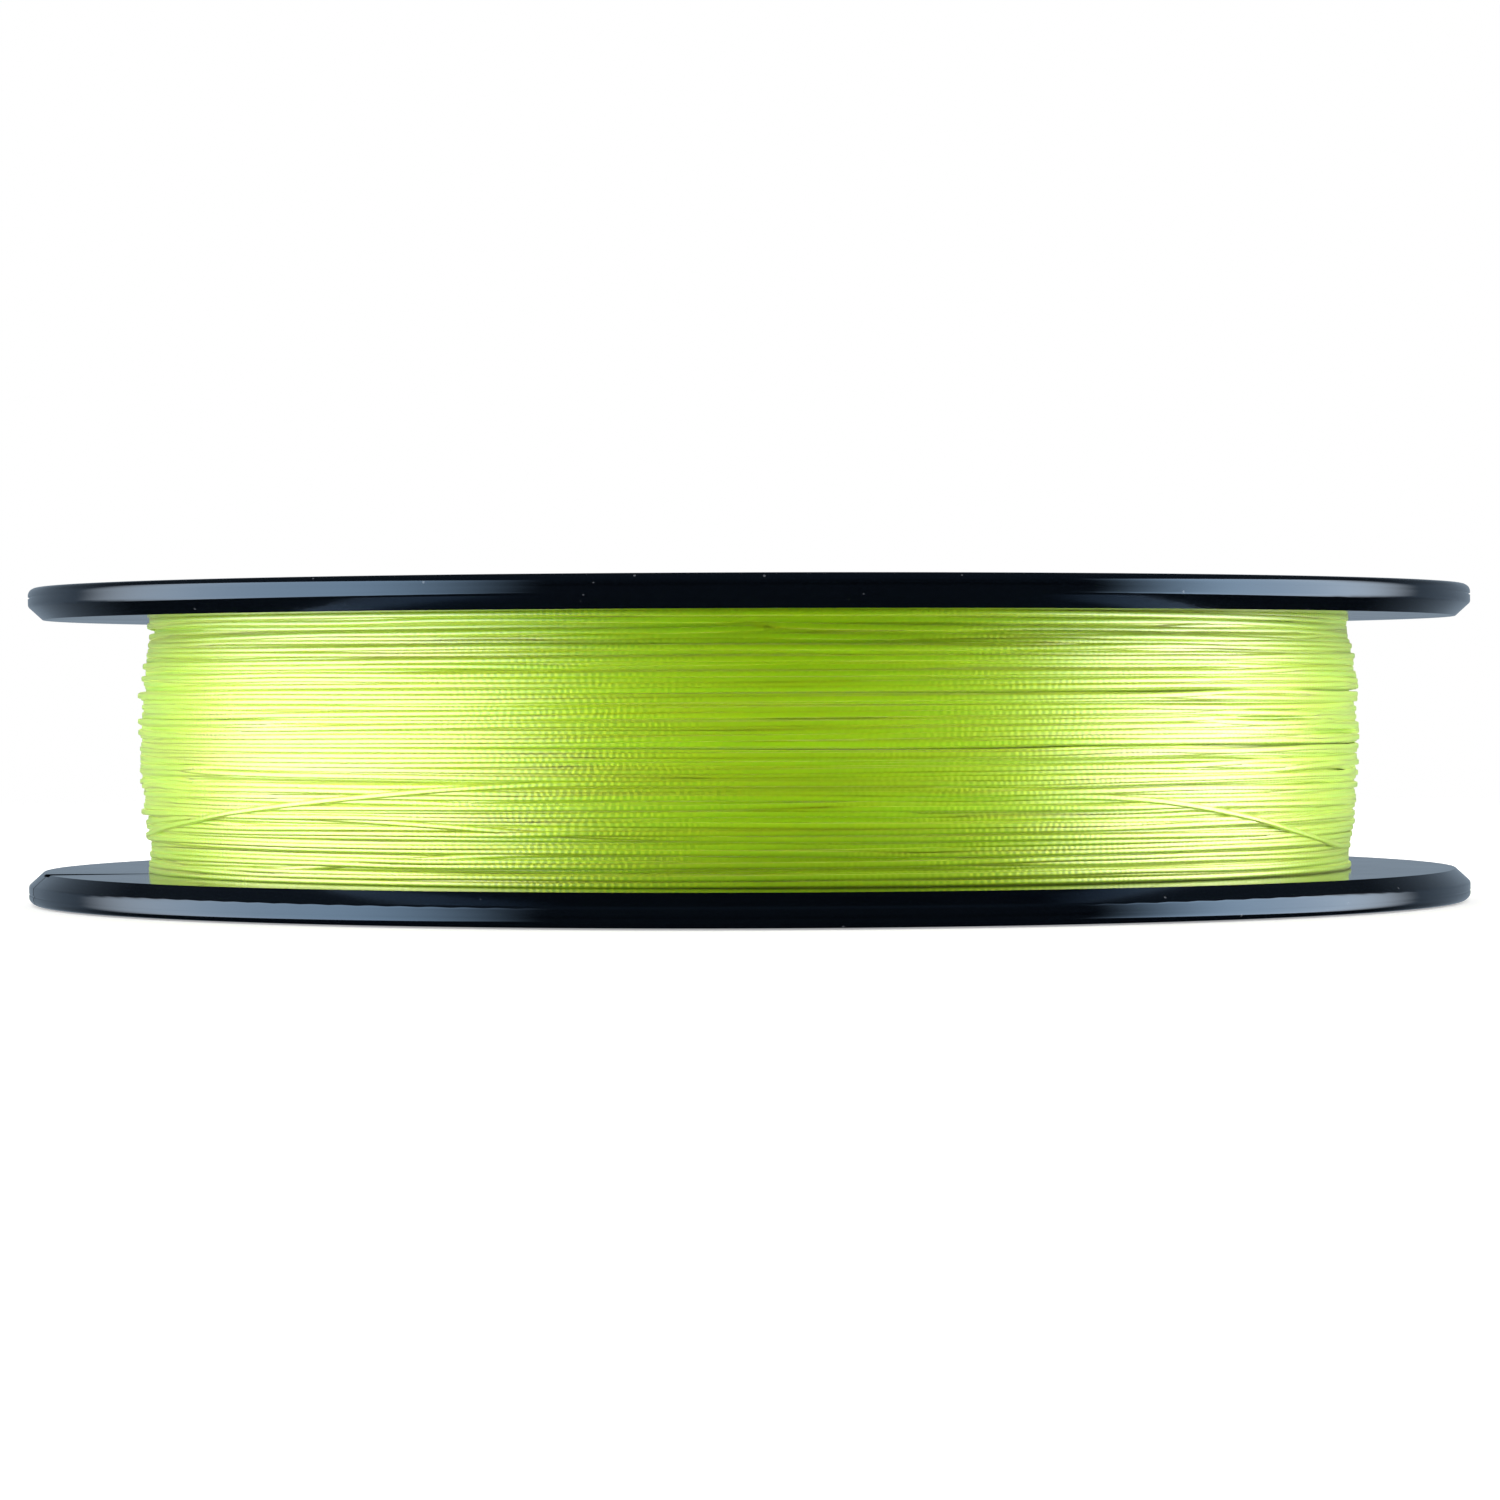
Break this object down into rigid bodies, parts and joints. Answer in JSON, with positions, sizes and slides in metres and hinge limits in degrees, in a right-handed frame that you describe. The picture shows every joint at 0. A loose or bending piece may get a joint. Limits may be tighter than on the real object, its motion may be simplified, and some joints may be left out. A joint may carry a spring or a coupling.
{
  "type": "fishing line spool",
  "caption": "Flat glossy spool with a narrow groove between two bevelled flanges, wound full with braided line.",
  "frame": {"origin": "centre of the lower flange's outer face, on the spool's axis", "axes": "+Z along the spool's axis, from the lower flange to the upper; +X to the right and -Y towards the viewer as pictured, with the line catch in the lower flange near -X"},
  "size_m": [0.11, 0.11, 0.0239],
  "materials": {
    "spool_plastic": "gloss",
    "line": "satin braid",
    "label_film": "matte printed film",
    "drum_tape": "matte",
    "clear_tape": "clear gloss film"
  },
  "bodies": {
    "root": {"lower_spool_half": "spool_plastic", "upper_spool_half": "spool_plastic", "lower_label": "label_film", "upper_label": "label_film", "line_start_tape": "drum_tape", "line_winding_core": "line", "line_outer_turns": "line", "line_end_tape": "clear_tape"}
  },
  "joints": []
}
